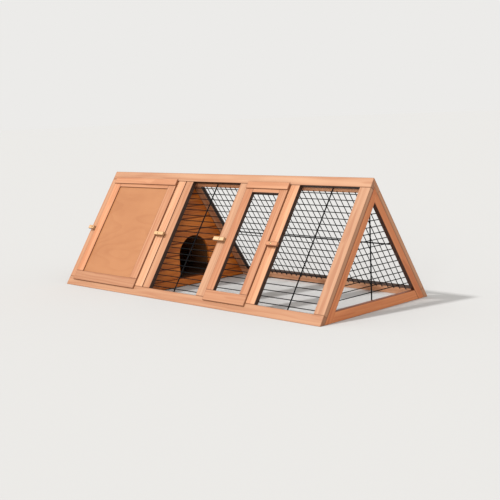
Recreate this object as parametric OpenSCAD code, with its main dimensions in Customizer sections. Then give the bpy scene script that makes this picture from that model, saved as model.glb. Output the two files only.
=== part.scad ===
/* [Hutch] */
// Length over the two gable ends
hutch_length = 1184; // [1140:2:1220]
// Depth at the floor, from front foot to back foot
hutch_depth = 500; // [480:2:520]
// Height of the ridge
hutch_height = 380; // [370:1:390]

/* [Frame timber] */
// Thickness of every frame board
board_t = 15; // [14:0.5:16]
// Width of the end posts on the slopes
end_post_w = 38; // [36:1:40]
// Width of the front bottom rail
front_rail_w = 33; // [30:1:35]
// Width of the back bottom rail
back_rail_w = 40; // [36:1:42]
// Width of the front ridge board
front_ridge_w = 31; // [30:0.5:31]
// Width of the back ridge board
back_ridge_w = 46; // [42:1:50]
// How far the gable rafters reach in from the slope
gable_rafter_reach = 39; // [36:1:42]
// Height of the gable cross rails
cross_rail_h = 30; // [28:1:32]

/* [Front layout, along X from the middle] */
// Left edge of the house post, which is the solid door's right jamb
house_post_x = -231; // [-235:1:-229]
// Width of the house post
house_post_w = 44; // [42:1:45]
// Left edge of the run post
run_post_x = -184; // [-185:1:-182]
// Width of the run post
run_post_w = 34; // [33:1:35]
// Left edge of the post left of the wire door
left_jamb_x = 75; // [74:1:76]
// Width of the post left of the wire door
left_jamb_w = 47; // [46:1:48]
// Left edge of the post right of the wire door
right_jamb_x = 285; // [284:1:288]
// Width of the post right of the wire door
right_jamb_w = 43; // [42:1:44]

/* [Doors] */
// How far a door's lip covers the posts beside it
lip_overlap = 7; // [6:0.5:7]
// How far a door's face stands proud of the frame
door_proud = 5.5; // [5.5:0.1:5.6]
// Depth of the door part that sits between the posts
door_inset = 6.5; // [6:0.5:7]
// Gap between a door and the frame beside it
side_gap = 2; // [1.8:0.1:2.2]
// Gap between a door's lip and the frame face behind it
lip_gap = 0.5; // [0.4:0.1:0.6]
// Height up the slope of a door's lower edge
door_foot_s = 21.5; // [21:0.5:22]
// Height up the slope of the door openings' lower edge
opening_foot_s = 56; // [55:0.5:57]
// Height up the slope of the door openings' upper edge
opening_head_s = 391; // [389:0.5:393]
// Width of the solid door's stiles
solid_stile_w = 36; // [34:1:37]
// Width of the wire door's stiles
wire_stile_w = 32; // [31:1:33]
// Width of a head strip
strip_w = 24.5; // [24:0.5:25]
// Thickness of a head strip
strip_t = 4; // [3.5:0.1:5.5]
// Thickness of the plywood panels
ply_t = 4; // [3.5:0.1:4.5]
// Depth of the solid door's panel below the door's face
panel_recess = 3.5; // [3:0.1:4]

/* [Hinges] */
// Length of a hinge
hinge_len = 40; // [38:1:42]
// Radius of a hinge barrel
barrel_r = 2.2; // [2.2:0.05:2.25]
// Radius of a hinge pin
pin_r = 1; // [0.9:0.05:1.1]
// Radial clearance between pin and barrel
pin_gap = 0.05; // [0.04:0.01:0.06]
// Thickness of a hinge leaf
leaf_t = 1; // [0.9:0.1:1]
// Distance of each hinge's middle from the door's side
hinge_inset = 45; // [42:1:48]

/* [Turn buttons] */
// Length of the arm that turns over the door
button_arm = 27; // [26:0.5:29]
// Length of the short end
button_tail = 19.5; // [18:0.1:19.6]
// Width of a button
button_w = 13; // [11:0.5:13]
// Height of a button's face over the frame
button_top = 14; // [13.5:0.5:15]
// Distance of the pivot from the door's side
pivot_to_door = 21; // [20.9:0.1:22]
// Length of the arm of the short button on the left end post
end_button_arm = 20; // [19:0.5:21]
// Length of the short end of that button
end_button_tail = 8.5; // [8:0.1:8.6]
// Distance of that button's pivot from the door's side
end_pivot_to_door = 10; // [9.9:0.1:10.5]
// Height up the slope of the buttons
button_s = 222; // [218:1:226]
// Radius of the pivot screw
screw_r = 2; // [1.8:0.1:2.1]

/* [Wire] */
// Radius of a wire rod
rod_r = 1.3; // [1:0.1:1.4]
// Radius of a support wire
stay_r = 2; // [1.5:0.1:2.2]
// Spacing of the rods on the front slope
front_pitch = 20; // [19:0.5:21]
// Spacing of the rods on the gable
gable_pitch = 18.6; // [18:0.1:19]
// Spacing of the rods on the back slope
back_pitch = 22.5; // [22:0.1:23]
// How far a grille laps onto the boards it is fixed to
grille_lap = 9; // [7:1:10]
// How far the back grille laps onto the rail and the ridge board
back_grille_lap = 4; // [3:0.5:6]

// Place along X of the support wire in the left bay
left_stay_x = -50; // [-60:1:-30]
// Place along X of the support wire in the right bay
right_stay_x = 441; // [420:1:460]

/* [Partition and floor] */
// Width of the doorway
doorway_w = 134; // [128:1:138]
// Height of the doorway's crown over the floor
doorway_top = 169; // [165:1:173]
// Middle of the doorway, measured from the ridge line towards the back
doorway_y = 0; // [-5:1:5]
// Height of the doorway's sill over the floor
sill_h = 29; // [29:1:31]
// Width of the partition rafters
partition_rafter_w = 27; // [25:1:29]
// Thickness of the partition boards
plank_t = 8; // [7:0.5:9]
// Exposed height of one partition board
plank_pitch = 40; // [39:0.5:41]

/* [Hidden] */
$fn = 48;
eps = 0.01;
half_l = hutch_length / 2;
half_d = hutch_depth / 2;
slope = atan2(hutch_height, half_d);
slope_len = sqrt(half_d * half_d + hutch_height * hutch_height);
front_ridge_s = slope_len - front_ridge_w;
back_ridge_s = slope_len - back_ridge_w;
gable_in_x = half_l - board_t;

// Post edges, left and right, of the two door openings
solid_open = [-half_l + end_post_w, house_post_x];
wire_open = [left_jamb_x + left_jamb_w, right_jamb_x];
solid_door = [solid_open[0] - lip_overlap, solid_open[1] + lip_overlap];
wire_door = [wire_open[0] - lip_overlap, wire_open[1] + lip_overlap];
door_top_s = front_ridge_s - 1.5;
inset_top_s = front_ridge_s - 2;
inset_foot_s = front_rail_w + 2.5;
door_back_o = -door_inset;
panel_face_o = door_proud - panel_recess;

// Hinge axis, in slope coordinates
flange_s = front_ridge_s - leaf_t - 0.1;
axis_s = flange_s + barrel_r;
axis_o = 3;
knuckle_count = 5;
knuckle_gap = 0.3;
knuckle_len = hinge_len / knuckle_count;
strip_top_s = axis_s + 2.5;
strip_foot_s = strip_top_s - strip_w;
leaf_foot_s = strip_foot_s + 2;
leaf_back_o = axis_o + barrel_r - leaf_t;

// Grilles sit on the inner faces of the frame and of the wire door
grille_o = -board_t - rod_r;
stay_o = grille_o - rod_r - stay_r + 0.3;
door_grille_o = door_back_o - rod_r;
front_rod_s0 = 48;
door_rod_s0 = 71;
gable_rod_z0 = 52.6;
back_stay_s = 222;

// Partition: boards towards the run, rafters and sill behind them
partition_face_x = run_post_x;
plank_back_x = partition_face_x - plank_t;
partition_back_x = plank_back_x - board_t;
partition_foot_z = 2;
bay_left_x = run_post_x + run_post_w;
wall_gap = 0.3;
plank_groove = 1.6;
doorway_rows = ceil((doorway_top - sill_h) / plank_pitch);
all_rows = ceil((hutch_height - sill_h) / plank_pitch);

floor_top_z = 28;
floor_t = 6;
cleat_w = 14;
button_under = door_proud + 1;
button_base = 0.4;
button_round = 2.5;
base_reach = 13;
end_base_reach = 6;
screw_deep = 13;
screw_head_r = 3.4;
screw_head_h = 1.4;

timber = [0.93, 0.68, 0.50];
shade = [0.86, 0.58, 0.40];
plywood = [0.86, 0.62, 0.40];
buttonwood = [0.96, 0.82, 0.63];
planks = [0.62, 0.36, 0.16];
steel = [0.30, 0.31, 0.33];
zinc = [0.72, 0.73, 0.74];

// Slope coordinates: x along the hutch, y up the slope from the floor edge, z out of the slope
module on_front()
    translate([0, -half_d, 0]) rotate([slope, 0, 0]) children();

module on_back()
    mirror([0, 1, 0]) on_front() children();

// A box given by its low and high corners
module span(low, high)
    translate(low) cube(high - low);

// Keeps what is above the floor and on one side of the ridge line
module front_half()
    intersection() {
        children();
        span([-half_l - 50, -half_d - 50, 0], [half_l + 50, 0, hutch_height + 50]);
    }

// A board lying in the front slope, from x0 to x1 and from s0 to s1 up the slope
module front_board(x0, x1, s0, s1)
    front_half() on_front() span([x0, s0, -board_t], [x1, s1, 0]);

module back_board(x0, x1, s0, s1)
    mirror([0, 1, 0]) front_board(x0, x1, s0, s1);

module front_bottom_rail()
    color(timber) front_board(-half_l, half_l, -5, front_rail_w);

module back_bottom_rail()
    color(timber) back_board(-half_l, half_l, -5, back_rail_w);

module front_ridge_board()
    color(timber) front_board(-half_l, half_l, front_ridge_s, slope_len + 5);

module back_ridge_board()
    color(timber) back_board(-half_l, half_l, back_ridge_s, slope_len + 5);

module front_post(x0, width)
    color(timber) front_board(x0, x0 + width, front_rail_w, front_ridge_s);

module back_post(x0, width)
    color(timber) back_board(x0, x0 + width, back_rail_w, back_ridge_s);

// A gable rafter inside the front slope boards, in the plane from x0 to x0 + board_t
module gable_rafter(x0)
    color(shade) front_half() on_front()
        span([x0, -60, -gable_rafter_reach], [x0 + board_t, slope_len + 60, -board_t]);

// The space under both slopes, down to reach below their faces
module between_slopes(x0, x1, reach)
    intersection() {
        on_front() span([x0, -400, -900], [x1, slope_len + 400, -reach]);
        on_back() span([x0, -400, -900], [x1, slope_len + 400, -reach]);
    }

module cross_rail(x0)
    color(shade) intersection() {
        between_slopes(x0, x0 + board_t, gable_rafter_reach);
        span([x0 - 1, -half_d, 0], [x0 + board_t + 1, half_d, cross_rail_h]);
    }

module left_gable_panel()
    color(plywood) intersection() {
        between_slopes(-gable_in_x, -gable_in_x + ply_t, board_t + ply_t + 1);
        span([-half_l, -half_d, 6], [half_l, half_d, hutch_height]);
    }

module house_back_panel()
    color(plywood) on_back()
        span([-gable_in_x + ply_t + 3, 22, -board_t - ply_t],
             [partition_back_x - 1, back_ridge_s + 18, -board_t]);

module house_floor()
    color(plywood) intersection() {
        between_slopes(-gable_in_x + ply_t + 1, partition_back_x - 1, board_t + ply_t + 1);
        span([-half_l, -half_d, floor_top_z - floor_t], [0, half_d, floor_top_z]);
    }

module floor_cleat(side)
    color(timber) translate([0, side * (half_d - 51), 0])
        span([-gable_in_x + ply_t + 2, -cleat_w / 2, floor_top_z - floor_t - cleat_w],
             [partition_back_x - 2, cleat_w / 2, floor_top_z - floor_t]);

// Doorway outline, cut along X through the boards: a round arch on straight sides
module doorway()
    translate([partition_face_x - 60, doorway_y, 0]) rotate([90, 0, 90]) linear_extrude(80)
        union() {
            translate([0, doorway_top - doorway_w / 2]) circle(r = doorway_w / 2, $fn = 64);
            translate([-doorway_w / 2, sill_h - 1])
                square([doorway_w, doorway_top - doorway_w / 2 - sill_h + 1]);
        }

// One horizontal board with a chamfer along both long edges of the face towards the run
module plank(z0, z1)
    intersection() {
        between_slopes(plank_back_x, partition_face_x, board_t + wall_gap);
        translate([0, half_d, 0]) rotate([90, 0, 0]) linear_extrude(hutch_depth)
            polygon([
                [plank_back_x, z0], [partition_face_x - plank_groove, z0],
                [partition_face_x, z0 + plank_groove], [partition_face_x, z1 - plank_groove],
                [partition_face_x - plank_groove, z1], [plank_back_x, z1]
            ]);
    }

module plank_rows(first, last)
    for (row = [first : last])
        plank(sill_h + row * plank_pitch, sill_h + (row + 1) * plank_pitch);

module partition_bottom_board()
    color(planks) plank(partition_foot_z, sill_h);

module partition_doorway_boards()
    color(planks) difference() {
        plank_rows(0, doorway_rows - 1);
        doorway();
    }

module partition_upper_boards()
    color(planks) plank_rows(doorway_rows, all_rows - 1);

module partition_front_rafter()
    color(planks) intersection() {
        front_half() on_front()
            span([partition_back_x, 0, -board_t - partition_rafter_w],
                 [plank_back_x, slope_len, -board_t - wall_gap]);
        span([-half_l, -half_d, partition_foot_z], [half_l, half_d, hutch_height]);
    }

module partition_back_rafter()
    mirror([0, 1, 0]) partition_front_rafter();

module partition_sill()
    color(planks) intersection() {
        between_slopes(partition_back_x, plank_back_x, board_t + partition_rafter_w);
        span([-half_l, -half_d, partition_foot_z], [half_l, half_d, sill_h - 1]);
    }

// Rods along x at even steps up the slope
module slope_rods(x0, x1, s_first, s_last, out)
    for (s = [s_first : front_pitch : s_last])
        translate([x0, s, out]) rotate([0, 90, 0]) cylinder(r = rod_r, h = x1 - x0, $fn = 16);

// A support wire up the slope, welded behind the rods
module slope_stay(x, s0, s1)
    translate([x, s0, stay_o]) rotate([-90, 0, 0]) cylinder(r = stay_r, h = s1 - s0, $fn = 16);

module bay_grille(x0, x1, stay_x)
    color(steel) on_front() {
        slope_rods(x0 - grille_lap, x1 + grille_lap, front_rod_s0, front_ridge_s - 5, grille_o);
        slope_stay(stay_x, front_rail_w - grille_lap, front_ridge_s + 4);
    }

module left_bay_grille()
    bay_grille(bay_left_x, left_jamb_x, left_stay_x);

module right_bay_grille()
    bay_grille(right_jamb_x + right_jamb_w, half_l - end_post_w, right_stay_x);

module back_grille()
    color(steel) on_back() {
        for (x = [bay_left_x + back_pitch / 2 : back_pitch : half_l - end_post_w])
            translate([x, back_rail_w - back_grille_lap, grille_o]) rotate([-90, 0, 0])
                cylinder(r = rod_r, h = back_ridge_s - back_rail_w + 2 * back_grille_lap, $fn = 16);
        translate([bay_left_x - grille_lap, back_stay_s, stay_o]) rotate([0, 90, 0])
            cylinder(r = stay_r, h = half_l - end_post_w - bay_left_x + 2 * grille_lap, $fn = 16);
    }

// Half the width between the gable rafters at height z, plus the lap behind them
function gable_half_width(z) =
    (hutch_height - z) / tan(slope) - (gable_rafter_reach - grille_lap) / sin(slope);

module gable_grille()
    color(steel) {
        for (z = [gable_rod_z0 : gable_pitch : hutch_height - 90])
            translate([gable_in_x - rod_r, -gable_half_width(z), z]) rotate([-90, 0, 0])
                cylinder(r = rod_r, h = 2 * gable_half_width(z), $fn = 16);
        translate([gable_in_x - 2 * rod_r - stay_r + 0.3, 0, cross_rail_h - grille_lap])
            cylinder(r = stay_r, h = hutch_height - cross_rail_h - 56, $fn = 16);
    }

// The whole outline of a lipped door in slope coordinates, before it is divided into members
module door_blank(sides)
    union() {
        span([sides[0], door_foot_s, lip_gap], [sides[1], door_top_s, door_proud]);
        span([sides[0] + lip_overlap + side_gap, inset_foot_s, door_back_o],
             [sides[1] - lip_overlap - side_gap, inset_top_s, lip_gap + eps]);
    }

// Shallow recesses in the top of a door that take the hinge leaves under the head strip
module leaf_recesses(sides)
    for (x = hinge_starts(sides))
        span([x - 0.5, leaf_foot_s - 0.5, leaf_back_o - 0.05],
             [x + hinge_len + 0.5, door_top_s + 5, door_proud + 1]);

function hinge_starts(sides) =
    [sides[0] + hinge_inset - hinge_len / 2, sides[1] - hinge_inset - hinge_len / 2];

module door_member(sides, x0, x1, s0, s1)
    color(timber) on_front() difference() {
        intersection() {
            door_blank(sides);
            span([x0, s0, -20], [x1, s1, 20]);
        }
        leaf_recesses(sides);
        if (sides == solid_door)
            panel_space(door_back_o - 1, panel_face_o);
    }

module left_stile(sides, width)
    door_member(sides, sides[0], sides[0] + width, opening_foot_s, door_top_s);

module right_stile(sides, width)
    door_member(sides, sides[1] - width, sides[1], opening_foot_s, door_top_s);

module top_rail(sides, width)
    door_member(sides, sides[0] + width, sides[1] - width, opening_head_s, door_top_s);

module bottom_rail(sides)
    door_member(sides, sides[0], sides[1], door_foot_s, opening_foot_s);

// A head strip with a chamfered upper edge, so that it clears the ridge board when the door opens
module head_strip(sides)
    color(timber) on_front() translate([sides[0], 0, 0]) rotate([90, 0, 90])
        linear_extrude(sides[1] - sides[0]) polygon([
            [strip_foot_s, door_proud], [strip_top_s, door_proud],
            [strip_top_s, door_proud + strip_t - 2], [strip_top_s - 2, door_proud + strip_t],
            [strip_foot_s, door_proud + strip_t]
        ]);

// The outline of the solid door's panel, which is let into the frame members from behind
module panel_space(low_o, high_o)
    span([solid_door[0] + solid_stile_w - grille_lap, opening_foot_s - grille_lap, low_o],
         [solid_door[1] - solid_stile_w + grille_lap, opening_head_s + grille_lap, high_o]);

module solid_door_panel()
    color(plywood) on_front() panel_space(panel_face_o - ply_t, panel_face_o);

module wire_door_grille()
    color(steel) on_front()
        slope_rods(wire_door[0] + wire_stile_w - grille_lap, wire_door[1] - wire_stile_w + grille_lap,
                   door_rod_s0, opening_head_s, door_grille_o);

// One stretch of hinge barrel, bored for the pin
module knuckle(x, index)
    translate([x + index * knuckle_len + knuckle_gap / 2, axis_s, axis_o]) rotate([0, 90, 0])
        cylinder(r = barrel_r, h = knuckle_len - knuckle_gap);

module pin_bore(x)
    translate([x - 5, axis_s, axis_o]) rotate([0, 90, 0])
        cylinder(r = pin_r + pin_gap, h = hinge_len + 10);

// Frame leaf: flat under the ridge board, with tabs out to its three knuckles
module frame_leaf(x)
    difference() {
        union() {
            span([x, flange_s, -board_t + 2], [x + hinge_len, flange_s + leaf_t, 0.2]);
            for (i = [0, 2, 4]) {
                knuckle(x, i);
                span([x + i * knuckle_len + knuckle_gap / 2, flange_s, 0],
                     [x + (i + 1) * knuckle_len - knuckle_gap / 2, flange_s + leaf_t, axis_o]);
            }
        }
        pin_bore(x);
    }

// Door leaf: flat on the door's face under the head strip, with tabs up to its two knuckles
module door_leaf(x)
    difference() {
        union() {
            span([x, leaf_foot_s, leaf_back_o], [x + hinge_len, axis_s - 3, leaf_back_o + leaf_t]);
            for (i = [1, 3]) {
                knuckle(x, i);
                span([x + i * knuckle_len + knuckle_gap / 2, axis_s - 3 - eps, leaf_back_o],
                     [x + (i + 1) * knuckle_len - knuckle_gap / 2, axis_s, leaf_back_o + leaf_t]);
            }
        }
        pin_bore(x);
    }

module frame_leaves(sides)
    color(zinc) on_front() for (x = hinge_starts(sides)) frame_leaf(x);

module door_leaves(sides)
    color(zinc) on_front() for (x = hinge_starts(sides)) door_leaf(x);

module hinge_pins(sides)
    color(zinc) on_front() for (x = hinge_starts(sides))
        translate([x, axis_s, axis_o]) rotate([0, 90, 0]) cylinder(r = pin_r, h = hinge_len);

// Pivot positions along x: each button sits on a post, just beside a door
solid_left_pivot = solid_door[0] - end_pivot_to_door;
solid_right_pivot = solid_door[1] + pivot_to_door;
wire_left_pivot = wire_door[0] - pivot_to_door;
wire_right_pivot = wire_door[1] + pivot_to_door;

// Round-cornered outline of a button, arm towards -x
module button_outline(arm, tail)
    union() {
        translate([-arm, -button_w / 2 + button_round])
            square([arm + tail, button_w - 2 * button_round]);
        translate([-arm + button_round, -button_w / 2])
            square([arm + tail - 2 * button_round, button_w]);
        for (x = [-arm + button_round, tail - button_round])
            for (y = [-1, 1])
                translate([x, y * (button_w / 2 - button_round)]) circle(r = button_round);
    }

// A stepped block: full depth over the post, and undercut where the arm passes over the door
module turn_button(pivot, turn, arm = button_arm, tail = button_tail, reach = base_reach)
    color(buttonwood) on_front() translate([pivot, button_s, 0]) rotate([0, 0, turn]) difference() {
        translate([0, 0, button_base]) linear_extrude(button_top - button_base) button_outline(arm, tail);
        span([-arm - 1, -button_w, 0], [-reach, button_w, button_under]);
        cylinder(r = screw_r + pin_gap, h = button_top + 1);
    }

// The narrow end post takes a short button that stays within the hutch's length
module end_button()
    turn_button(solid_left_pivot, 0, end_button_arm, end_button_tail, end_base_reach);

module button_screws()
    color(zinc) on_front()
        for (x = [solid_left_pivot, solid_right_pivot, wire_left_pivot, wire_right_pivot])
            translate([x, button_s, 0]) {
                translate([0, 0, -screw_deep]) cylinder(r = screw_r, h = screw_deep + button_top + 0.2);
                translate([0, 0, button_top + 0.15])
                    cylinder(r1 = screw_head_r, r2 = screw_head_r - 1.4, h = screw_head_h);
            }

front_bottom_rail();
back_bottom_rail();
front_ridge_board();
back_ridge_board();
front_post(-half_l, end_post_w);  // front_left_end_post
front_post(half_l - end_post_w, end_post_w);  // front_right_end_post
back_post(-half_l, end_post_w);  // back_left_end_post
back_post(half_l - end_post_w, end_post_w);  // back_right_end_post
front_post(house_post_x, house_post_w);  // front_house_post
front_post(run_post_x, run_post_w);  // front_run_post
back_post(house_post_x, house_post_w);  // back_house_post
back_post(run_post_x, run_post_w);  // back_run_post
front_post(left_jamb_x, left_jamb_w);  // wire_door_left_post
front_post(right_jamb_x, right_jamb_w);  // wire_door_right_post
gable_rafter(gable_in_x);  // right_gable_front_rafter
mirror([0, 1, 0]) gable_rafter(gable_in_x);  // right_gable_back_rafter
cross_rail(gable_in_x);  // right_gable_cross_rail
gable_rafter(-half_l);  // left_gable_front_rafter
mirror([0, 1, 0]) gable_rafter(-half_l);  // left_gable_back_rafter
cross_rail(-half_l);  // left_gable_cross_rail
left_gable_panel();
house_back_panel();
house_floor();
floor_cleat(-1);  // front_floor_cleat
floor_cleat(1);  // back_floor_cleat
partition_bottom_board();
partition_doorway_boards();
partition_upper_boards();
partition_front_rafter();
partition_back_rafter();
partition_sill();
left_bay_grille();
right_bay_grille();
back_grille();
gable_grille();
left_stile(solid_door, solid_stile_w);  // solid_door_left_stile
right_stile(solid_door, solid_stile_w);  // solid_door_right_stile
top_rail(solid_door, solid_stile_w);  // solid_door_top_rail
bottom_rail(solid_door);  // solid_door_bottom_rail
solid_door_panel();
head_strip(solid_door);  // solid_door_head_strip
left_stile(wire_door, wire_stile_w);  // wire_door_left_stile
right_stile(wire_door, wire_stile_w);  // wire_door_right_stile
top_rail(wire_door, wire_stile_w);  // wire_door_top_rail
bottom_rail(wire_door);  // wire_door_bottom_rail
wire_door_grille();
head_strip(wire_door);  // wire_door_head_strip
frame_leaves(solid_door);  // solid_door_hinge_frame_leaves
door_leaves(solid_door);  // solid_door_hinge_door_leaves
hinge_pins(solid_door);  // solid_door_hinge_pins
frame_leaves(wire_door);  // wire_door_hinge_frame_leaves
door_leaves(wire_door);  // wire_door_hinge_door_leaves
hinge_pins(wire_door);  // wire_door_hinge_pins
end_button();  // solid_door_left_button
turn_button(solid_right_pivot, 180);  // solid_door_right_button
turn_button(wire_left_pivot, 0);  // wire_door_left_button
turn_button(wire_right_pivot, 180);  // wire_door_right_button
button_screws();
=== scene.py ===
"""A triangular timber rabbit hutch: surfaces, small fittings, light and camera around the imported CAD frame."""
import math
import random

import bmesh
import bpy
from mathutils import Matrix, Vector


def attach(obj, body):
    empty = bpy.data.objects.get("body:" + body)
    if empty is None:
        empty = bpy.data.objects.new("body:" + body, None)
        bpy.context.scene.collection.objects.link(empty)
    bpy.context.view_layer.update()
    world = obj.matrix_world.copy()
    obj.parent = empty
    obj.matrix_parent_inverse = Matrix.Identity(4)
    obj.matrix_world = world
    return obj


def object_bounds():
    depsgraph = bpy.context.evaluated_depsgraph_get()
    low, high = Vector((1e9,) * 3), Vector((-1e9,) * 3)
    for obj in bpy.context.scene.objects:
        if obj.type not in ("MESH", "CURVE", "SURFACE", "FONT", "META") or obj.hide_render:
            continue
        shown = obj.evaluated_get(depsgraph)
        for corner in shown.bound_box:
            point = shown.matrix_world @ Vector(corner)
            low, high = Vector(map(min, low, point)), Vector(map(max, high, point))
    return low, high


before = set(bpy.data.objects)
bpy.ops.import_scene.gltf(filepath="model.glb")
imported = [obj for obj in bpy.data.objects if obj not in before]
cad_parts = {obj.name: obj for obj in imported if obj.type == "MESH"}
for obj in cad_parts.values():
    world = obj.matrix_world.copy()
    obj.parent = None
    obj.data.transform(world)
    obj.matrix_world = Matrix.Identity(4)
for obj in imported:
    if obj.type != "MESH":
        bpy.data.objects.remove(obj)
cad_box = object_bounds()

# The slope of the roof, from the CAD box: half the depth against the height.
LOW, HIGH = cad_box
SLOPE = math.atan2(HIGH[2] - LOW[2], (HIGH[1] - LOW[1]) / 2)

# Linear colours, the palest and the darkest tone of each material.
TIMBER_LIGHT = (0.450, 0.236, 0.128)
TIMBER_DARK = (0.333, 0.135, 0.061)
DOOR_LIGHT = (0.450, 0.210, 0.105)
DOOR_DARK = (0.333, 0.122, 0.050)
# Painted light: the gable boards are the timber made paler and more orange, to brighten the shaded gable end.
GABLE_LIGHT = (0.535, 0.196, 0.072)
GABLE_DARK = (0.390, 0.111, 0.036)
PLY_LIGHT = (0.370, 0.155, 0.059)
PLY_DARK = (0.300, 0.110, 0.037)
BUTTON_LIGHT = (0.62, 0.400, 0.215)
BUTTON_DARK = (0.47, 0.255, 0.115)
PLANK_LIGHT = (0.560, 0.165, 0.018)
PLANK_DARK = (0.320, 0.070, 0.006)
# Painted shade: the house floor is almost black, to darken the inside of the house seen through the doorway.
PAINTED_SHADE_FLOOR_LIGHT = (0.085, 0.042, 0.022)
PAINTED_SHADE_FLOOR_DARK = (0.040, 0.020, 0.011)
WIRE_LIGHT = (0.0065, 0.0065, 0.0070)
WIRE_DARK = (0.0025, 0.0025, 0.0030)
STAPLE_LIGHT = (0.34, 0.33, 0.31)
STAPLE_DARK = (0.12, 0.11, 0.10)
ZINC_LIGHT = (0.55, 0.54, 0.51)
ZINC_DARK = (0.30, 0.29, 0.26)
YELLOW_ZINC_LIGHT = (0.52, 0.38, 0.20)
YELLOW_ZINC_DARK = (0.25, 0.17, 0.08)
BACKGROUND = (0.839, 0.831, 0.815)

# The boards whose narrow faces have the colour of their open face, with fainter edges, and those whose narrow
# faces are painted almost black as painted shade; the narrow faces of all others are painted darker, as painted
# shade.
PLAIN_SIDES = ("front_left_end_post", "front_right_end_post", "back_left_end_post", "back_right_end_post")
DARK_SIDES = ("front_run_post", "wire_door_right_post", "wire_door_left_stile", "front_ridge_board",
              "wire_door_top_rail", "back_run_post", "back_bottom_rail", "right_gable_back_rafter")

# How pale a board is beside its fellows; those not named are 1. The back ridge board and back bottom rail are
# painted paler as painted light, for their inner faces that lie in shade.
TONES_AND_PAINTED_LIGHT = {
    "front_bottom_rail": 0.93, "front_house_post": 1.32, "front_right_end_post": 0.93,
    "wire_door_right_post": 1.24, "solid_door_left_stile": 1.18, "solid_door_bottom_rail": 0.84,
    "wire_door_bottom_rail": 0.87, "back_ridge_board": 1.50, "back_bottom_rail": 1.42,
    "back_run_post": 0.88, "back_house_post": 0.80,
}

# The darkening at a board's edges and ends, stain with painted shade, fills a band this wide there, and is full
# this far from the corner.
EDGE_BAND = 0.0020
END_BAND = 0.0030
CORNER = 0.0003
# Shares of a board's dark tone: the edge darkening's, stain with painted shade, in red, green and blue; the
# painted shade of an almost black narrow face; and a knot's.
STAIN_AND_SHADE_SHARES = (0.36, 0.27, 0.22)
NARROW_FACE_SHADE_SHARE = 0.08
KNOT_SHARE = 0.30
WOOD_SPECULAR = 0.35

# Softwood: the width of a year's growth, how far the log's heart lies from the board's middle across and in
# depth, how far a board's tone and warmth may differ from its fellows', and the share of places with a knot.
RING_WIDTHS = (0.0045, 0.0068)
HEART_ACROSS = 0.016
HEART_DEPTHS = (0.018, 0.055)
TINT = 0.04
KNOT_CHANCE = 0.16
WOOD_ROUGHNESS = 0.4

# Plywood: the thickness of one pair of plies, and how many veneer lines the wandering field makes.
PLY_PAIR = 0.004 / 1.5
VENEER_LINES = 13.0


class Tree:
    """Adds shader nodes to a material; a value that is a socket is linked, and any other is set."""

    def __init__(self, material):
        material.use_nodes = True
        self.nodes = material.node_tree.nodes
        self.links = material.node_tree.links
        self.nodes.clear()

    def add(self, kind, values=(), **settings):
        node = self.nodes.new(kind)
        for name, setting in settings.items():
            setattr(node, name, setting)
        for key, value in dict(values).items():
            if isinstance(value, bpy.types.NodeSocket):
                self.links.new(value, node.inputs[key])
            else:
                node.inputs[key].default_value = value
        return node

    def math(self, operation, a, b=0.0, clamp=False):
        return self.add("ShaderNodeMath", {0: a, 1: b}, operation=operation, use_clamp=clamp).outputs[0]

    def smooth(self, value, low, high):
        """0 below low, 1 above high, and a smooth step between; low may be the larger."""
        values = {"Value": value, "From Min": low, "From Max": high}
        return self.add("ShaderNodeMapRange", values, interpolation_type="SMOOTHSTEP").outputs[0]

    def mix(self, factor, a, b, blend="MIX"):
        node = self.add("ShaderNodeMix", data_type="RGBA", blend_type=blend)
        for index, value in ((0, factor), (6, a), (7, b)):
            if isinstance(value, bpy.types.NodeSocket):
                self.links.new(value, node.inputs[index])
            else:
                node.inputs[index].default_value = (*value, 1.0) if isinstance(value, tuple) else value
        return node.outputs[2]

    def scaled(self, vector, scale):
        return self.add("ShaderNodeMapping", {"Vector": vector, "Scale": scale}).outputs[0]

    def noise(self, vector, scale, detail=2.0, roughness=0.5):
        """Noise with its own scale per metre along each axis, so that it can be drawn out along the grain."""
        values = {"Vector": self.scaled(vector, scale), "Scale": 1.0, "Detail": detail,
                  "Roughness": roughness}
        return self.add("ShaderNodeTexNoise", values).outputs["Fac"]

    def surface(self, **values):
        shader = self.add("ShaderNodeBsdfPrincipled", {k.replace("_", " "): v for k, v in values.items()})
        self.add("ShaderNodeOutputMaterial", {"Surface": shader.outputs[0]})
        return shader


def board_space(tree, node, tilt, order, rng):
    """Coordinates in metres from a board's middle, x along the grain, y across it and z through its thickness:
    first as they are, then shifted at random for textures. Also the board's half sizes in the same order."""
    lean = Matrix.Rotation(tilt, 3, "X")
    points = [lean @ vertex.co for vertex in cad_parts[node].data.vertices]
    low = Vector([min(p[a] for p in points) for a in range(3)])
    high = Vector([max(p[a] for p in points) for a in range(3)])
    picks = ["xyz".index(letter) for letter in order]
    half = [(high[a] - low[a]) / 2 for a in picks]

    position = tree.add("ShaderNodeTexCoord").outputs["Object"]
    turned = tree.add("ShaderNodeMapping", {"Vector": position, "Rotation": (tilt, 0, 0),
                                            "Location": -(low + high) / 2})
    axes = tree.add("ShaderNodeSeparateXYZ", {0: turned.outputs[0]}).outputs
    local = tree.add("ShaderNodeCombineXYZ", {i: axes[a] for i, a in enumerate(picks)}).outputs[0]
    shift = (rng.uniform(-9, 9), rng.uniform(-0.012, 0.012), rng.uniform(-0.004, 0.004))
    moved = tree.add("ShaderNodeMapping", {"Vector": local, "Location": shift}).outputs[0]
    return local, moved, half


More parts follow.
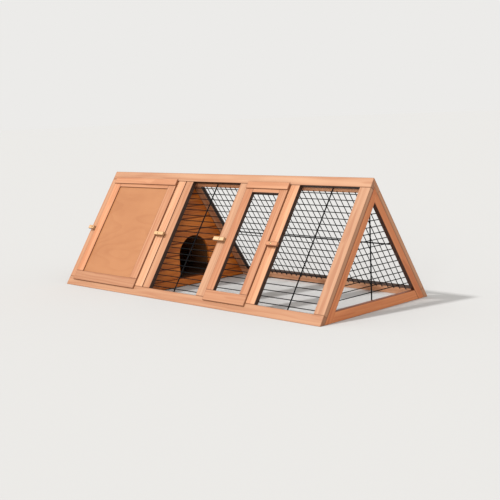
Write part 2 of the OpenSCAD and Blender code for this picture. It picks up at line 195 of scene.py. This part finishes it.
def near_edges(tree, local_axes, half, plain_sides):
    """1 at a board's long edges and 0.6 at its ends, where stain gathers and shade is painted, and 0 on its open
    face.
    The narrow faces are darkened all over as painted shade, unless the board has plain sides, whose edges are
    fainter too."""
    side = tree.smooth(tree.math("ABSOLUTE", local_axes[1]), half[1] - EDGE_BAND, half[1] - CORNER)
    end = tree.smooth(tree.math("ABSOLUTE", local_axes[0]), half[0] - END_BAND, half[0] - CORNER)
    edge = tree.math("MAXIMUM", side, tree.math("MULTIPLY", end, 0.6))
    if not plain_sides:
        return edge
    face = tree.smooth(tree.math("ABSOLUTE", local_axes[2]), half[2] - 0.005, half[2] - 0.001)
    return tree.math("MULTIPLY", edge, tree.math("MULTIPLY", face, 0.5))


def growth_rings(tree, place, axes, halo, rng):
    """1 in the dark late wood of each year's ring and 0 in the pale early wood; the rings bend round knots."""
    waver = tree.noise(place, (3.5, 26, 26), 2.0)
    across = tree.math("SUBTRACT", axes[1], rng.uniform(-HEART_ACROSS, HEART_ACROSS))
    down = tree.math("SUBTRACT", axes[2], rng.choice((-1, 1)) * rng.uniform(*HEART_DEPTHS))
    square = tree.math("ADD", tree.math("MULTIPLY", across, across), tree.math("MULTIPLY", down, down))
    bent = tree.math("ADD", tree.math("SQRT", square), tree.math("MULTIPLY", waver, 0.016))
    bent = tree.math("ADD", bent, tree.math("MULTIPLY", halo, 0.007))
    ring = tree.math("FRACT", tree.math("MULTIPLY", bent, 1 / rng.uniform(*RING_WIDTHS)))
    return tree.math("MULTIPLY", tree.smooth(ring, 0.15, 0.86), tree.smooth(ring, 1.0, 0.92))


def with_stain_and_shade(tree, colour, node, local_axes, half, dark, pitch):
    """The colour with stain and painted shade at a board's edges and ends and at the joints of a node of several
    boards, and with the almost black narrow faces of painted shade that some boards have."""
    edge_stain_and_shade = near_edges(tree, local_axes, half, node in PLAIN_SIDES)
    # Painted shade with stain: a dark line at each joint between the planks of one node.
    if pitch:
        turn = tree.math("FRACT", tree.math("DIVIDE", tree.math("ADD", local_axes[1], half[1]), pitch))
        from_middle = tree.math("ABSOLUTE", tree.math("SUBTRACT", turn, 0.5))
        edge_stain_and_shade = tree.math("MAXIMUM", edge_stain_and_shade, tree.smooth(from_middle, 0.41, 0.47))
    # Stain with painted shade darkens the edges, ends and plank joints.
    edge_stain_and_shade_colour = tuple(c * k for c, k in zip(dark, STAIN_AND_SHADE_SHARES))
    colour = tree.mix(tree.math("MULTIPLY", edge_stain_and_shade, 0.80), colour, edge_stain_and_shade_colour)
    if node not in DARK_SIDES:
        return colour
    # Painted shade: these boards' narrow faces are painted almost black.
    narrow_face = tree.smooth(tree.math("ABSOLUTE", local_axes[1]), half[1] - 0.0006, half[1] - 0.0001)
    narrow_face_shade = tuple(c * NARROW_FACE_SHADE_SHARE for c in dark)
    return tree.mix(tree.math("MULTIPLY", narrow_face, 0.93), colour, narrow_face_shade)


def softwood(name, node, tilt, order, light, dark, pitch):
    """Stained softwood: growth rings cut lengthwise, fine fibres, slow changes of tone and a few knots.
    pitch is the width of one board in a node of several, counted from its lowest edge, or else None."""
    rng = random.Random(name)
    material = bpy.data.materials.new(name)
    tree = Tree(material)
    local, place, half = board_space(tree, node, tilt, order, rng)
    axes = tree.add("ShaderNodeSeparateXYZ", {0: place}).outputs

    cells = tree.add("ShaderNodeTexVoronoi", {"Vector": tree.scaled(place, (8, 9, 0.4)), "Scale": 1.0})
    pick = tree.add("ShaderNodeSeparateColor", {0: cells.outputs["Color"]}).outputs[0]
    chosen = tree.math("GREATER_THAN", pick, 1 - KNOT_CHANCE)
    knot = tree.math("MULTIPLY", tree.smooth(cells.outputs["Distance"], 0.055, 0.026), chosen)
    halo = tree.math("MULTIPLY", tree.smooth(cells.outputs["Distance"], 0.20, 0.03), chosen)

    late = growth_rings(tree, place, axes, halo, rng)
    fibre = tree.noise(place, (22, 1500, 1500), 3.0, 0.6)
    streak = tree.noise(place, (1.6, 75, 75), 2.0, 0.55)
    patch = tree.noise(place, (2.2, 11, 11), 2.0)

    amount = tree.math("ADD", tree.math("MULTIPLY", late, 0.40),
                       tree.math("MULTIPLY", tree.smooth(streak, 0.36, 0.66), 0.50))
    fine = tree.math("MULTIPLY", tree.math("SUBTRACT", fibre, 0.5), 0.45)
    amount = tree.math("ADD", amount, fine, clamp=True)
    # A board's tone; for the back ridge board and back bottom rail it is painted light.
    shade = TONES_AND_PAINTED_LIGHT.get(node, 1.0) * (1 + rng.uniform(-TINT, TINT))
    warm = 1 + rng.uniform(-TINT, TINT) * 0.8
    pale = tuple(c * shade * k for c, k in zip(light, (1, warm, warm ** 2)))
    deep = tuple(c * shade * k for c, k in zip(dark, (1, warm, warm ** 2)))
    colour = tree.mix(amount, pale, deep)
    colour = tree.mix(tree.math("MULTIPLY", tree.smooth(patch, 0.35, 0.75), 0.25), colour, deep)
    colour = tree.mix(tree.math("MULTIPLY", halo, 0.25), colour, deep)
    colour = tree.mix(tree.math("MULTIPLY", knot, 0.85), colour, tuple(c * KNOT_SHARE for c in dark))
    local_axes = tree.add("ShaderNodeSeparateXYZ", {0: local}).outputs
    colour = with_stain_and_shade(tree, colour, node, local_axes, half, dark, pitch)

    height = tree.math("ADD", tree.math("MULTIPLY", late, 0.5), tree.math("MULTIPLY", fibre, 0.9))
    bump = tree.add("ShaderNodeBump", {"Height": height, "Strength": 0.35, "Distance": 0.0004}).outputs[0]
    gloss = tree.math("ADD", tree.math("MULTIPLY", fibre, 0.16), WOOD_ROUGHNESS)
    tree.surface(Base_Color=colour, Roughness=gloss, Normal=bump, Specular_IOR_Level=WOOD_SPECULAR)
    return material


def plywood(name, node, tilt, order, light, dark):
    """Stained plywood: the broad wandering figure of a peeled veneer, short pores, and plies on its edges."""
    rng = random.Random(name)
    material = bpy.data.materials.new(name)
    tree = Tree(material)
    local, place, _ = board_space(tree, node, tilt, order, rng)
    depth = tree.add("ShaderNodeSeparateXYZ", {0: local}).outputs[2]

    field = tree.noise(place, (1.7, 6.5, 0.6), 2.0, 0.45)
    figure = tree.math("FRACT", tree.math("MULTIPLY", field, VENEER_LINES))
    line = tree.math("MULTIPLY", tree.smooth(figure, 0.35, 0.9), tree.smooth(figure, 1.0, 0.93))
    cloud = tree.noise(place, (4.5, 8, 1), 3.0, 0.55)
    pore = tree.noise(place, (45, 1300, 60), 2.0, 0.6)
    blotch = tree.noise(place, (16, 22, 1), 3.0, 0.6)

    plies = tree.math("FRACT", tree.math("MULTIPLY", depth, 1 / PLY_PAIR))
    ply_line = tree.smooth(plies, 0.42, 0.58)
    amount = tree.math("ADD", tree.math("MULTIPLY", line, 0.26),
                       tree.math("MULTIPLY", tree.smooth(cloud, 0.35, 0.70), 0.50))
    amount = tree.math("ADD", amount, tree.math("MULTIPLY", tree.math("SUBTRACT", pore, 0.5), 0.35))
    uneven = tree.math("MULTIPLY", tree.math("SUBTRACT", blotch, 0.5), 0.55)
    amount = tree.math("ADD", amount, uneven, clamp=True)
    colour = tree.mix(amount, light, dark)
    colour = tree.mix(tree.math("MULTIPLY", ply_line, 0.12), colour, dark)

    height = tree.math("ADD", tree.math("MULTIPLY", pore, 0.8), tree.math("MULTIPLY", line, 0.3))
    bump = tree.add("ShaderNodeBump", {"Height": height, "Strength": 0.3, "Distance": 0.0003}).outputs[0]
    gloss = tree.math("ADD", tree.math("MULTIPLY", pore, 0.14), 0.42)
    tree.surface(Base_Color=colour, Roughness=gloss, Normal=bump, Specular_IOR_Level=WOOD_SPECULAR)
    return material


def steel(name, light, dark, rough, metallic=1.0, specular=0.5):
    """Plated or coated steel: dull spangle, fine scratches and darker grime in patches."""
    material = bpy.data.materials.new(name)
    tree = Tree(material)
    place = tree.add("ShaderNodeTexCoord").outputs["Object"]
    spangle = tree.add("ShaderNodeTexVoronoi", {"Vector": place, "Scale": 650.0})
    tone = tree.add("ShaderNodeSeparateColor", {0: spangle.outputs["Color"]}).outputs[0]
    grime = tree.noise(place, (90, 90, 90), 3.0, 0.6)
    scratch = tree.noise(place, (120, 2600, 2600), 2.0, 0.6)
    amount = tree.math("ADD", tree.math("MULTIPLY", tone, 0.25), tree.smooth(grime, 0.42, 0.72), clamp=True)
    colour = tree.mix(amount, light, dark)
    bump = tree.add("ShaderNodeBump", {"Height": scratch, "Strength": 0.15, "Distance": 0.0001}).outputs[0]
    gloss = tree.math("ADD", tree.math("MULTIPLY", grime, 0.22), rough - 0.1)
    tree.surface(Base_Color=colour, Metallic=metallic, Roughness=gloss, Normal=bump,
                 Specular_IOR_Level=specular)
    return material


def dress(node, material):
    """Gives a CAD node its material."""
    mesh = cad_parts[node].data
    mesh.materials.clear()
    mesh.materials.append(material)


def soften_edges(node, width):
    """Rounds a board's sharp edges a little, as planing and sanding leave them."""
    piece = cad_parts[node]
    weld = piece.modifiers.new("weld", "WELD")
    weld.merge_threshold = 1e-6
    flat = piece.modifiers.new("flat", "DECIMATE")
    flat.decimate_type = "DISSOLVE"
    flat.angle_limit = math.radians(0.5)
    bevel = piece.modifiers.new("bevel", "BEVEL")
    bevel.width = width
    bevel.segments = 2
    bevel.limit_method = "ANGLE"
    bevel.angle_limit = math.radians(30)
    bevel.use_clamp_overlap = True
    piece.modifiers.new("shading", "WEIGHTED_NORMAL")


FRONT, BACK, UPRIGHT = -SLOPE, SLOPE, 0.0

# Each board: how it leans, then which axes its length, width and thickness lie on once it is laid flat.
BOARDS = {
    "front_bottom_rail": (FRONT, "xyz"), "front_ridge_board": (FRONT, "xyz"),
    "back_bottom_rail": (BACK, "xyz"), "back_ridge_board": (BACK, "xyz"),
    "front_floor_cleat": (UPRIGHT, "xyz"), "back_floor_cleat": (UPRIGHT, "xyz"),
    "wire_door_left_post": (FRONT, "yxz"), "wire_door_right_post": (FRONT, "yxz"),
}
for side, lean in (("front", FRONT), ("back", BACK)):
    for post in ("left_end_post", "right_end_post", "house_post", "run_post"):
        BOARDS[f"{side}_{post}"] = (lean, "yxz")

GABLE_BOARDS = {}
for end in ("left", "right"):
    GABLE_BOARDS[f"{end}_gable_front_rafter"] = (FRONT, "yzx")
    GABLE_BOARDS[f"{end}_gable_back_rafter"] = (BACK, "yzx")
    GABLE_BOARDS[f"{end}_gable_cross_rail"] = (UPRIGHT, "yzx")

DOOR_BOARDS = {}
for door in ("solid_door", "wire_door"):
    for stile in ("left_stile", "right_stile"):
        DOOR_BOARDS[f"{door}_{stile}"] = (FRONT, "yxz")
    for rail in ("top_rail", "bottom_rail", "head_strip"):
        DOOR_BOARDS[f"{door}_{rail}"] = (FRONT, "xyz")

PARTITION_BOARDS = {
    "partition_front_rafter": (FRONT, "yzx"), "partition_back_rafter": (BACK, "yzx"),
    "partition_sill": (UPRIGHT, "yzx"), "partition_bottom_board": (UPRIGHT, "yzx"),
    "partition_doorway_boards": (UPRIGHT, "yzx"), "partition_upper_boards": (UPRIGHT, "yzx"),
}
BUTTONS = {button: (FRONT, "xyz") for button in
           ("solid_door_left_button", "solid_door_right_button", "wire_door_left_button")}
# One button is stained like the doors.
DOOR_BOARDS["wire_door_right_button"] = (FRONT, "xyz")
PLY_PANELS = {
    "solid_door_panel": (FRONT, "xyz"), "house_back_panel": (BACK, "xyz"), "left_gable_panel": (UPRIGHT, "yzx"),
}
HINGES = tuple(f"{door}_hinge_{part}" for door in ("solid_door", "wire_door")
               for part in ("frame_leaves", "door_leaves", "pins"))

# The nodes that hold several of the partition's boards, and the width of one board.
PLANKED = ("partition_doorway_boards", "partition_upper_boards")
PLANK_PITCH = 0.040
# How far the edges of plywood are rounded.
PLY_EDGE = 0.0004


def finish_timber():
    """Gives every board and panel its wood and its rounded edges."""
    groups = (
        (BOARDS, TIMBER_LIGHT, TIMBER_DARK, 0.0012),
        # The gable boards take the paler timber colours, painted light for the shaded gable end.
        (GABLE_BOARDS, GABLE_LIGHT, GABLE_DARK, 0.0012),
        (DOOR_BOARDS, DOOR_LIGHT, DOOR_DARK, 0.0009),
        (PARTITION_BOARDS, PLANK_LIGHT, PLANK_DARK, 0.0006),
        (BUTTONS, BUTTON_LIGHT, BUTTON_DARK, 0.0010),
    )
    for boards, light, dark, edge_width in groups:
        for node, (tilt, order) in boards.items():
            pitch = PLANK_PITCH if node in PLANKED else None
            dress(node, softwood(f"{node}_wood", node, tilt, order, light, dark, pitch))
            soften_edges(node, edge_width)
    for node, (tilt, order) in PLY_PANELS.items():
        dress(node, plywood(f"{node}_plywood", node, tilt, order, PLY_LIGHT, PLY_DARK))
        soften_edges(node, PLY_EDGE)
    # Painted shade: the house floor's near black plywood darkens the house's inside.
    dress("house_floor", plywood("house_floor_plywood", "house_floor", UPRIGHT, "xyz",
                                 PAINTED_SHADE_FLOOR_LIGHT, PAINTED_SHADE_FLOOR_DARK))
    soften_edges("house_floor", PLY_EDGE)


# Each grille: how it leans, which axes run across, along and out from its rods, the body that it rides on,
# and how far from a rod's end a staple sits.
GRILLES = {
    "left_bay_grille": (FRONT, "yxz", "frame", 0.0045),
    "right_bay_grille": (FRONT, "yxz", "frame", 0.0045),
    "wire_door_grille": (FRONT, "yxz", "wire_door", 0.0045),
    "back_grille": (BACK, "xyz", "frame", 0.0020),
    "gable_grille": (UPRIGHT, "zyx", "frame", 0.0045),
}
STAPLE_WIRE_R = 0.0005
STAPLE_BURIED = 0.004
STAPLE_SIDES = 8
# Rods lie further apart than this, a shorter thing isn't a rod, and its end's corners lie this close to its tip.
ROD_CLEARANCE = 0.003
SHORTEST_ROD = 0.02
ROD_TIP = 0.0002


def find_rods(points):
    """The rods of a grille, from its corner points as (across, along, out): for every rod its middle across,
    its low and high end, its middle out of the grille's plane, and its radius."""
    points = sorted(points, key=lambda p: p.x)
    groups = [[points[0]]]
    for point in points[1:]:
        if point.x - groups[-1][-1].x > ROD_CLEARANCE:
            groups.append([])
        groups[-1].append(point)
    rods = []
    for group in groups:
        low, high = min(p.y for p in group), max(p.y for p in group)
        if high - low > SHORTEST_ROD:
            tip = [p for p in group if p.y < low + ROD_TIP]
            wide = [min(p.x for p in tip), max(p.x for p in tip)]
            deep = [min(p.z for p in tip), max(p.z for p in tip)]
            rods.append((sum(wide) / 2, low, high, sum(deep) / 2, (wide[1] - wide[0]) / 2))
    return rods


def staple_path(rod_r):
    """Half a turn of wire over a rod, as (across, out), from inside the board, over the rod and back in."""
    reach = rod_r + STAPLE_WIRE_R
    crown = [(reach * math.cos(a), -reach * math.sin(a)) for a in (math.pi * i / 8 for i in range(9))]
    buried = rod_r + STAPLE_BURIED
    return [(reach, buried)] + crown + [(-reach, buried)]


def add_staple(mesh, unturn, middle, path):
    """Sweeps a round wire along the path; unturn takes (across, along, out) back to the frame's axes."""
    rings = []
    for i, (across, out) in enumerate(path):
        before, after = path[max(i - 1, 0)], path[min(i + 1, len(path) - 1)]
        run = Vector((after[0] - before[0], 0, after[1] - before[1])).normalized()
        side = Vector((-run.z, 0, run.x))
        ring = []
        for k in range(STAPLE_SIDES):
            angle = 2 * math.pi * k / STAPLE_SIDES
            offset = side * math.cos(angle) + Vector((0, 1, 0)) * math.sin(angle)
            spot = middle + Vector((across, 0, out)) + offset * STAPLE_WIRE_R
            ring.append(mesh.verts.new(unturn @ spot))
        rings.append(ring)
    for low, high in zip(rings, rings[1:]):
        for k in range(STAPLE_SIDES):
            following = (k + 1) % STAPLE_SIDES
            mesh.faces.new((low[k], low[following], high[following], high[k]))
    mesh.faces.new(rings[0])
    mesh.faces.new(rings[-1])


def make_staples(material):
    """Staples hold every second rod of each grille to the boards at its ends."""
    for node, (tilt, order, body, from_end) in GRILLES.items():
        lean = Matrix.Rotation(tilt, 3, "X")
        picks = ["xyz".index(letter) for letter in order]
        axes = Matrix([[1.0 if a == pick else 0.0 for a in range(3)] for pick in picks]) @ lean
        points = [axes @ vertex.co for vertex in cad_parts[node].data.vertices]
        mesh = bmesh.new()
        for across, low, high, out, rod_r in find_rods(points)[::2]:
            for along in (low + from_end, high - from_end):
                add_staple(mesh, axes.transposed(), Vector((across, along, out)), staple_path(rod_r))
        bmesh.ops.recalc_face_normals(mesh, faces=mesh.faces)
        data = bpy.data.meshes.new(f"{node}_staples")
        mesh.to_mesh(data)
        mesh.free()
        data.shade_smooth()
        data.materials.append(material)
        staples = bpy.data.objects.new(f"{node}_staples", data)
        bpy.context.scene.collection.objects.link(staples)
        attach(staples, body)


def finish_metal():
    """Gives the grilles, hinges and screws their metals, and makes the staples."""
    wire = steel("coated_wire", WIRE_LIGHT, WIRE_DARK, 0.72, metallic=0.0, specular=0.06)
    for node in GRILLES:
        dress(node, wire)
    make_staples(steel("staple_wire", STAPLE_LIGHT, STAPLE_DARK, 0.45))
    zinc = steel("zinc_plate", ZINC_LIGHT, ZINC_DARK, 0.42)
    for node in HINGES:
        dress(node, zinc)
    dress("button_screws", steel("yellow_zinc", YELLOW_ZINC_LIGHT, YELLOW_ZINC_DARK, 0.4))


# The floor gives back this share of the light, and reaches this far each way.
FLOOR_ALBEDO = 0.52
FLOOR_REACH = 60.0
# The way to each sun, how wide it is, and the strength of the fill; the key's follows from the floor's tone.
TOWARDS_KEY = Vector((-0.25, -0.63, 0.74)).normalized()
TOWARDS_FILL = Vector((0.50, -0.82, 0.27)).normalized()
KEY_ANGLE = math.radians(4)
FILL_ANGLE = math.radians(25)
FILL_ENERGY = 1.6


def make_floor():
    """A matt floor of the background's hue, all one colour."""
    mesh = bpy.data.meshes.new("floor")
    near, far = -FLOOR_REACH, FLOOR_REACH
    corners = [(near, near, 0), (far, near, 0), (far, far, 0), (near, far, 0)]
    mesh.from_pydata(corners, [], [(0, 1, 2, 3)])
    floor = bpy.data.objects.new("floor", mesh)
    bpy.context.scene.collection.objects.link(floor)
    material = bpy.data.materials.new("pale_floor")
    tree = Tree(material)
    tree.surface(Base_Color=tuple(FLOOR_ALBEDO * c / BACKGROUND[0] for c in BACKGROUND) + (1.0,),
                 Roughness=1.0, Specular_IOR_Level=0.0)
    mesh.materials.append(material)


def add_sun(name, towards, energy, angle):
    data = bpy.data.lights.new(name, "SUN")
    data.energy = energy
    data.angle = angle
    sun = bpy.data.objects.new(name, data)
    sun.rotation_euler = towards.to_track_quat("Z", "Y").to_euler()
    bpy.context.scene.collection.objects.link(sun)


def make_light():
    """An even pale surround, a high sun from the front left and a soft, low fill from the front right."""
    world = bpy.data.worlds.new("studio")
    world.use_nodes = True
    background = world.node_tree.nodes["Background"]
    background.inputs["Color"].default_value = (*BACKGROUND, 1.0)
    background.inputs["Strength"].default_value = 1.0
    bpy.context.scene.world = world

    # The floor's lit tone equals the background's: albedo * (world + key + fill) = world.
    needed = math.pi * BACKGROUND[0] * (1 / FLOOR_ALBEDO - 1)
    key_energy = (needed - FILL_ENERGY * TOWARDS_FILL.z) / TOWARDS_KEY.z
    add_sun("key", TOWARDS_KEY, key_energy, KEY_ANGLE)
    add_sun("fill", TOWARDS_FILL, FILL_ENERGY, FILL_ANGLE)


CAMERA_PLACE = Vector((2.2290, -2.1219, 0.5742))
CAMERA_AZIMUTH = math.radians(45.28)
CAMERA_ELEVATION = math.radians(8.23)
CAMERA_ROLL = math.radians(-2.376)
CAMERA_LENS = 68.37


def make_camera():
    data = bpy.data.cameras.new("camera")
    data.sensor_width = 36.0
    data.lens = CAMERA_LENS
    data.clip_start = 0.05
    camera = bpy.data.objects.new("camera", data)
    turn = Matrix.Rotation(CAMERA_AZIMUTH, 4, "Z")
    tip = Matrix.Rotation(math.pi / 2 - CAMERA_ELEVATION, 4, "X")
    roll = Matrix.Rotation(CAMERA_ROLL, 4, "Z")
    camera.matrix_world = Matrix.Translation(CAMERA_PLACE) @ turn @ tip @ roll
    bpy.context.scene.collection.objects.link(camera)
    bpy.context.scene.camera = camera


bpy.context.scene.view_settings.view_transform = "Standard"
make_camera()
make_light()
make_floor()
finish_timber()
finish_metal()
